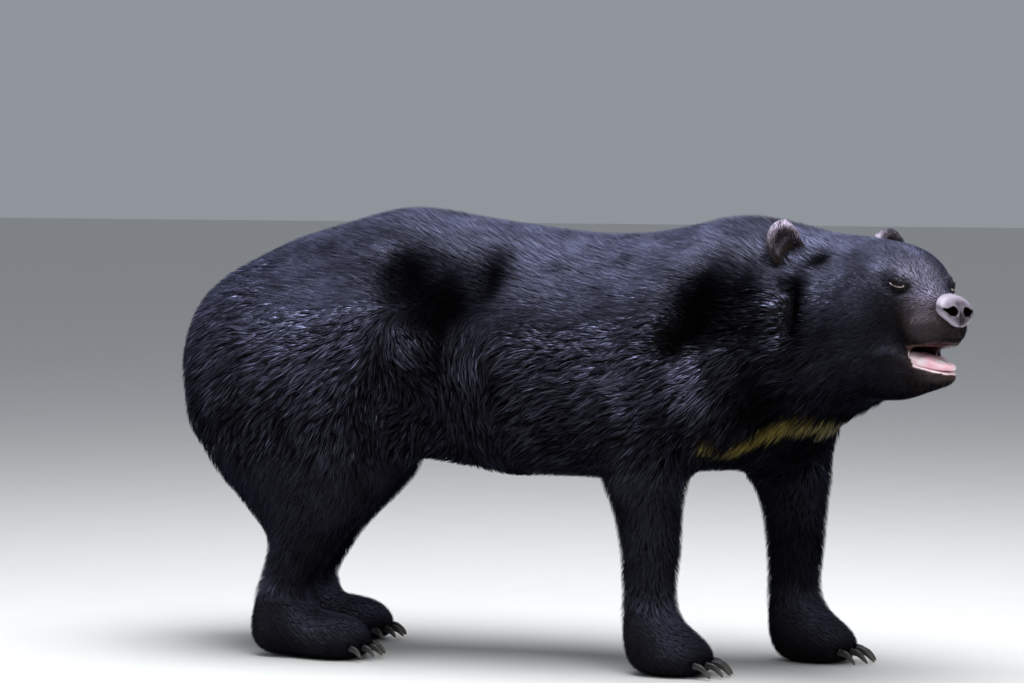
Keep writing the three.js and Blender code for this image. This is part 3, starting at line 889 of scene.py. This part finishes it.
hair = Material("black_hair", 0.48, Specular_Tint=(0.25, 0.26, 0.32, 1))
# The hair is fully metallic, so its colour is its reflection and follows its painted light: near black in
# painted shade, a cool blue-grey painted sheen where brightest, and warmer on the muzzle and ears. The
# crescent is not metallic; its cream is painted paler where the painted light is brighter.
painted_light_and_tone_of = hair.attribute("gloss", 2)
pale_of = hair.attribute("pale", 2)
black = hair.ramp(painted_light_and_tone_of, (0.0, (0.0028, 0.0028, 0.0032)), (0.2, (0.078, 0.079, 0.112)),
                  (1.0, (0.40, 0.41, 0.64)))
warm = hair.ramp(painted_light_and_tone_of, (0.0, (0.0020, 0.0015, 0.0015)), (1.0, (0.50, 0.37, 0.37)))
black = hair.mix(hair.attribute("brown", 2), black, warm)
cream = hair.mix(painted_light_and_tone_of, (0.15, 0.115, 0.018), (0.50, 0.41, 0.16))
hair.surface(Base_Color=hair.mix(pale_of, black, cream), Metallic=1 - pale_of)

long_coat = (1 - fine) * ~bare
short_coat = fine * (0.4 + 0.6 * on("head", "ear", "nose_pad", "lower_jaw")) * ~bare
grow("locks", 4, 64000, long_coat * locked, steps=(0, 0.5, 1), girth=(0.8, 1.0), stout=1.0, keel=0.35)
grow("sleek", 3, 120000, long_coat * (1 - locked), steps=(0, 1), girth=(1.0,), stout=1.5, keel=0.2)
grow("short", 2, 92000, short_coat, steps=(0, 1), girth=(1.0,), stout=1.4, keel=0.1)

# ---------------------------------------------------------------- surface of the skin
# Dark under the hair, pale under the crescent, and bare at the lips, the gums and the lids' rims,
# where it is moist and pink, and dark red, partly painted shade, where the mouth's lining faces down.

under = Material("skin", 0.6, Specular_IOR_Level=0.3)
wet = under.attribute("lining", 2)
lower_part = under.attribute("lower_side", 2)
ground = under.mix(under.noise(60), (0.0015, 0.0015, 0.002), (0.004, 0.004, 0.005))
ground = under.mix(under.attribute("brown", 2), ground, (0.05, 0.03, 0.022))
ground = under.mix(under.attribute("pale", 2), ground, (0.22, 0.15, 0.06))
# The lining: pale pink on the lower jaw where it faces up or outward, and dark red elsewhere, partly its own
# colour and partly painted shade.
inside = under.mix(lower_part, (0.05, 0.015, 0.013), (0.92, 0.72, 0.76))
ground = under.mix(under.attribute("lid_rim", 2), ground, (0.60, 0.49, 0.51))
under.surface(Base_Color=under.mix(wet, ground, inside), Roughness=0.95 - wet * 0.5)
under.surface(Normal=under.bump(under.noise(500, 2), 0.0006, 0.6))

skin_mesh.vertices.foreach_set("co", skin.ravel())
skin_mesh.update()
skin_marks = {"lining": lining, "lower_side": lower_side, "pale": pale, "brown": brown, "lid_rim": lid_rim}
for mark, values in skin_marks.items():
    layer = skin_mesh.attributes.new(mark, "FLOAT", "POINT")
    layer.data.foreach_set("value", values)
add_piece("skin", skin_mesh, under, "coat", *flesh)

# ---------------------------------------------------------------- nose
# The bare leathery pad: broad and squared, with two comma-shaped nostrils that open to the sides
# and a groove that runs down from between them to the lip.


def net_piece(name, material, slot, nodes, points, marks=None):
    """A piece from rings of points: points[i, j] is point j of closed ring i, capped at both ends."""
    rings, around = points.shape[:2]
    mesh = bpy.data.meshes.new(name)
    faces = []
    for i in range(rings - 1):
        for j in range(around):
            k = (j + 1) % around
            faces.append((i * around + j, i * around + k, (i + 1) * around + k, (i + 1) * around + j))
    faces.append(tuple(range(around - 1, -1, -1)))
    faces.append(tuple((rings - 1) * around + j for j in range(around)))
    mesh.from_pydata(points.reshape(-1, 3).tolist(), [], faces)
    for mark, values in (marks or {}).items():
        layer = mesh.attributes.new(mark, "FLOAT", "POINT")
        layer.data.foreach_set("value", values.ravel())
    add_piece(name, mesh, material, slot, *nodes)


# The nose's middle, half-sizes ahead, sideways and upward, and lean, and the discs whose chain is
# the outline of one nostril: how far to the side, how high, and how big.
NOSE = in_head(middle("nose_pad")) / mm + (-1, 0, -1)
NOSE_HALF = (17, 38.5, 27.5)
NOSE_LEAN = math.radians(-14)
NOSTRIL = [(15, 3, 8.8), (21, 2, 7.2), (28, 3, 3.6), (34, 5, 1.4)]
NOSTRIL_DEPTH = 9.5
NARROWING = 0.38
TOP_ARCH = 3.5
GROOVE_DEPTH = 3.4


def superellipse(angle, power):
    """Points of a rounded square: a circle when power is 2, and squarer above it."""
    c, s = np.cos(angle), np.sin(angle)
    return np.stack([np.sign(c) * np.abs(c) ** (2 / power), np.sign(s) * np.abs(s) ** (2 / power)], -1)


def chain_distance(p, q, chain):
    """Signed distance in a plane to a chain of joined discs of changing size."""
    best = np.full(p.shape, 99.0)
    for (x0, y0, r0), (x1, y1, r1) in zip(chain, chain[1:]):
        run, rise = x1 - x0, y1 - y0
        t = np.clip(((p - x0) * run + (q - y0) * rise) / (run**2 + rise**2), 0, 1)
        best = np.minimum(best, np.hypot(p - x0 - t * run, q - y0 - t * rise) - r0 - t * (r1 - r0))
    return best


# Rings run from the middle of the front, where they lie closest, over the edge to the back. The
# pad narrows downward, its top is arched, and its front is flatter than a ball's.
ring_angle = np.radians(np.concatenate([np.linspace(1, 84, 84), np.linspace(88, 172, 20)]))[:, None]
round_nose = np.linspace(0, 2 * math.pi, 150, endpoint=False)[None]
nose_outline = superellipse(round_nose, 2.35)
high = np.sin(ring_angle) * nose_outline[..., 1] * NOSE_HALF[2]
side_by = np.sin(ring_angle) * nose_outline[..., 0] * NOSE_HALF[1]
side_by = side_by * (1 - NARROWING * smooth_step(-high, 0, 28))
high = high + TOP_ARCH * (1 - np.abs(side_by) / NOSE_HALF[1]) * smooth_step(high, 5, 25)
front_by = np.sign(np.cos(ring_angle)) * np.abs(np.cos(ring_angle)) ** 0.6 * NOSE_HALF[0] + 0 * high

# The nostrils sink in behind a raised rim, and the groove runs down between them.
opening = chain_distance(np.abs(side_by), high, NOSTRIL)
facing = smooth_step(np.cos(ring_angle), 0.02, 0.25)
rim = 1.6 * np.exp(-((opening - 2.0) / 2.2) ** 2)
hole = NOSTRIL_DEPTH * (1 - smooth_step(opening, -3.4, 1.0))
groove = GROOVE_DEPTH * np.exp(-((side_by / 1.7) ** 2)) * (1 - smooth_step(high, -3, 5))
front_by = front_by + facing * (rim - hole - groove)
nose_points = np.stack([
    front_by * math.cos(NOSE_LEAN) + high * math.sin(NOSE_LEAN),
    side_by,
    front_by * math.sin(NOSE_LEAN) + high * math.cos(NOSE_LEAN),
], -1)
nose_points = from_head((nose_points + NOSE) * mm)

# shade is painted shade: 1 in the nostrils and less in the dark patch between and below them. The
# other mark is a painted highlight: 1 round the pad's edge, where the leather is painted pale.
shade = np.clip(facing * np.maximum(1 - smooth_step(opening, -0.6, 1.2), groove / 3.6), 0, 1)
cleft = 0.8 * np.exp(-((side_by / 10) ** 2)) * (1 - smooth_step(high, -4, 8)) * smooth_step(high, -27, -19)
shade = np.maximum(shade, cleft * facing)
worn = smooth_step(np.sin(ring_angle), 0.55, 0.95) * smooth_step(opening, 1.5, 8)

leather = Material("nose_leather", 0.34, Specular_IOR_Level=0.6, Coat_Roughness=0.18)
dark_hole = leather.attribute("shade", 2)
blotch = leather.ramp(leather.noise(90, 4), (0.35, (0.07, 0.055, 0.072)), (0.62, (0.19, 0.155, 0.20)))
# Painted highlight: the leather is paler round the pad's edge.
blotch = leather.mix(leather.attribute("worn", 2) * 0.7, blotch, (0.46, 0.39, 0.50))
leather.surface(Base_Color=leather.mix(dark_hole, blotch, (0.004, 0.003, 0.004)))
leather.surface(Metallic=dark_hole, Coat_Weight=0.35 - dark_hole * 0.35)
cobbles = leather.node("ShaderNodeTexVoronoi", {"feature": "DISTANCE_TO_EDGE"},
                       {"Vector": leather.node("ShaderNodeNewGeometry"), "Scale": 620})
pebble = leather.between(cobbles, 0.0, 0.28) + leather.noise(1500, 2) * 0.3
leather.surface(Normal=leather.bump(pebble, 0.0005, 0.55))
net_piece("nose", leather, "nose_skin", ["nose_pad"], nose_points, {"shade": shade, "worn": worn})

# ---------------------------------------------------------------- eyes
# A dark brown eyeball with a bulging clear cornea, a round pupil and a thin dark rim to the iris. It
# lies behind the lids, and most of it is hidden.

eye_gloss = Material("eye", 0.2, Specular_IOR_Level=0.12, Coat_Weight=0.15, Coat_Roughness=0.03)
from_pupil = eye_gloss.attribute("from_pupil", 2)
fibres = eye_gloss.noise(900, 3) * 0.10
pupil_black = (0.0015, 0.001, 0.001)
iris_brown = ((0.007, 0.003, 0.002), (0.011, 0.005, 0.003))
iris_rim = (0.003, 0.002, 0.0015)
dim_white = (0.03, 0.02, 0.018)
iris = eye_gloss.ramp(from_pupil + fibres, (0.0, pupil_black), (0.27, pupil_black), (0.33, iris_brown[0]),
                      (0.66, iris_brown[1]), (0.76, iris_rim), (0.90, dim_white))
eye_gloss.surface(Base_Color=iris)
for side, node in ((-1, "right_eye"), (1, "left_eye")):
    centre, look, inner, up_way = eye_frame(side)
    polar = np.radians(np.linspace(1, 178, 60))[:, None]
    round_eye = np.linspace(0, 2 * math.pi, 72, endpoint=False)[None]
    cornea = 1 + 0.07 * (1 - smooth_step(np.sin(polar), 0.30, 0.66)) * (np.cos(polar) > 0)
    ball = EYE_RADIUS * (
        (cornea * np.cos(polar) + 0 * round_eye)[..., None] * look
        + (np.sin(polar) * np.cos(round_eye))[..., None] * inner
        + (np.sin(polar) * np.sin(round_eye))[..., None] * up_way
    )
    eye_points = from_head((ball + centre) * mm)
    outward_by = np.where(np.cos(polar) > 0, np.sin(polar), 1) + 0 * round_eye
    net_piece(node + "ball", eye_gloss, "eye", [node], eye_points, {"from_pupil": outward_by})

# ---------------------------------------------------------------- tongue
# Moist pink flesh, broad and flat, lying on the floor of the mouth, with a soft furrow down its
# middle and a surface rough with small bumps.

TONGUE_BROADER = 1.22
TONGUE_HALF_HEIGHT = 14
FURROW_DEPTH = 3.0
RIPPLE = 1.2
tongue_solid = in_head(vertices_of(frame["nodes"]["tongue"].data)) / mm
tongue_back, tongue_side, _ = tongue_solid.min(0)
tongue_front, other_side, _ = tongue_solid.max(0)
tongue_length = tongue_front - tongue_back
along_by = np.linspace(0, 1, 70)[:, None]
round_tongue = np.linspace(0, 2 * math.pi, 64, endpoint=False)[None]
broad = np.sqrt(np.clip(1 - (2 * np.abs(along_by - 0.42) / 1.17) ** 3.2, 0.0004, 1))
thick = np.sqrt(np.clip(1 - (2 * np.abs(along_by - 0.40) / 1.21) ** 2.6, 0.0004, 1))
tongue_outline = superellipse(round_tongue, 2.5)
sideways = (other_side - tongue_side) / 2 * TONGUE_BROADER * broad * tongue_outline[..., 0]
upward = TONGUE_HALF_HEIGHT * thick * tongue_outline[..., 1]
top = smooth_step(tongue_outline[..., 1], 0, 0.7)
furrow = FURROW_DEPTH * top * np.exp(-((sideways / 4.5) ** 2)) * smooth_step(along_by, 0.05, 0.4)
upward = upward - furrow * (1 - smooth_step(along_by, 0.82, 1))
upward = upward + RIPPLE * top * np.sin(along_by * 19) * smooth_step(np.abs(sideways), 3, 14)
middle_height = -104 - 17 * along_by**1.5
forward_by = tongue_back + tongue_length * along_by + 0 * round_tongue
tongue_points = np.stack([forward_by, sideways, upward + middle_height], -1)

flesh_pink = Material("tongue", 0.30, Specular_IOR_Level=0.6, Coat_Weight=0.5, Coat_Roughness=0.12,
                      Subsurface_Weight=0.25, Subsurface_Scale=0.004, Subsurface_Radius=(1.0, 0.35, 0.25))
tint = flesh_pink.ramp(flesh_pink.noise(45, 3), (0.35, (0.88, 0.50, 0.57)), (0.65, (0.96, 0.82, 0.85)))
flesh_pink.surface(Base_Color=tint)
papillae = flesh_pink.node("ShaderNodeTexVoronoi", {},
                           {"Vector": flesh_pink.node("ShaderNodeNewGeometry"), "Scale": 900})
flesh_pink.surface(Normal=flesh_pink.bump(1 - papillae, 0.0004, 0.5))
net_piece("tongue_flesh", flesh_pink, "tongue", ["tongue"], from_head(tongue_points * mm))

# ---------------------------------------------------------------- claws
# Curved horn, flattened at the sides, dark at the root and paler at the worn tip. Each claw follows
# its solid from the root, which sits in the toe's hair, to the tip, with an arch between them.

horn = Material("claw_horn", 0.38, Specular_IOR_Level=0.55)
toward_tip = horn.attribute("toward_tip", 2)
streaks = horn.noise(420, 3) * 0.25
horn_color = horn.ramp(toward_tip + streaks - 0.12, (0.0, (0.006, 0.005, 0.005)),
                       (0.5, (0.020, 0.017, 0.015)), (0.95, (0.08, 0.066, 0.052)))
horn.surface(Base_Color=horn_color)
horn.surface(Normal=horn.bump(horn.noise(260, 4), 0.0004, 0.4))

CLAW_HALF = 6.2
CLAW_FLAT = 0.72
ARCH = 0.16
ROOTED = 0.12
along_claw = np.linspace(-ROOTED, 1, 22)
shown = np.clip(along_claw, 0, 1)
taper = np.sqrt(np.clip(1 - shown**2.2, 0.002, 1))
round_claw = np.linspace(0, 2 * math.pi, 14, endpoint=False)
claws = [s["node"] for s in frame["record"]["subparts"] if "_claw_" in s["node"]]
for node in claws:
    points = vertices_of(frame["nodes"][node].data)
    paw_middle = middle(node.split("_claw_")[0] + "_paw")
    from_paw = unit((points.mean(0) - paw_middle) * (1, 1, 0))
    far = points @ from_paw
    tip = points[np.argmax(far)]
    claw_root = points[far < far.min() + 0.25 * np.ptp(far)].mean(0)
    reach = tip - claw_root
    forward = unit(reach * (1, 1, 0))
    aside = np.cross((0, 0, 1), forward)
    size = np.linalg.norm(reach)
    arch = ARCH * size * np.sin(shown * math.pi) ** 0.9
    spine = claw_root + along_claw[:, None] * reach + arch[:, None] * np.array([0, 0, 1])
    slope = unit(np.gradient(spine, axis=0))
    over_way = np.cross(slope, aside)
    half_high = CLAW_HALF * mm * taper
    horn_points = (
        spine[:, None]
        + (half_high * CLAW_FLAT)[:, None, None] * np.cos(round_claw)[None, :, None] * aside
        + half_high[:, None, None] * np.sin(round_claw)[None, :, None] * over_way[:, None]
    )
    tip_share = np.repeat(along_claw, len(round_claw))
    net_piece(node + "_horn", horn, "claw", [node], horn_points, {"toward_tip": tip_share})
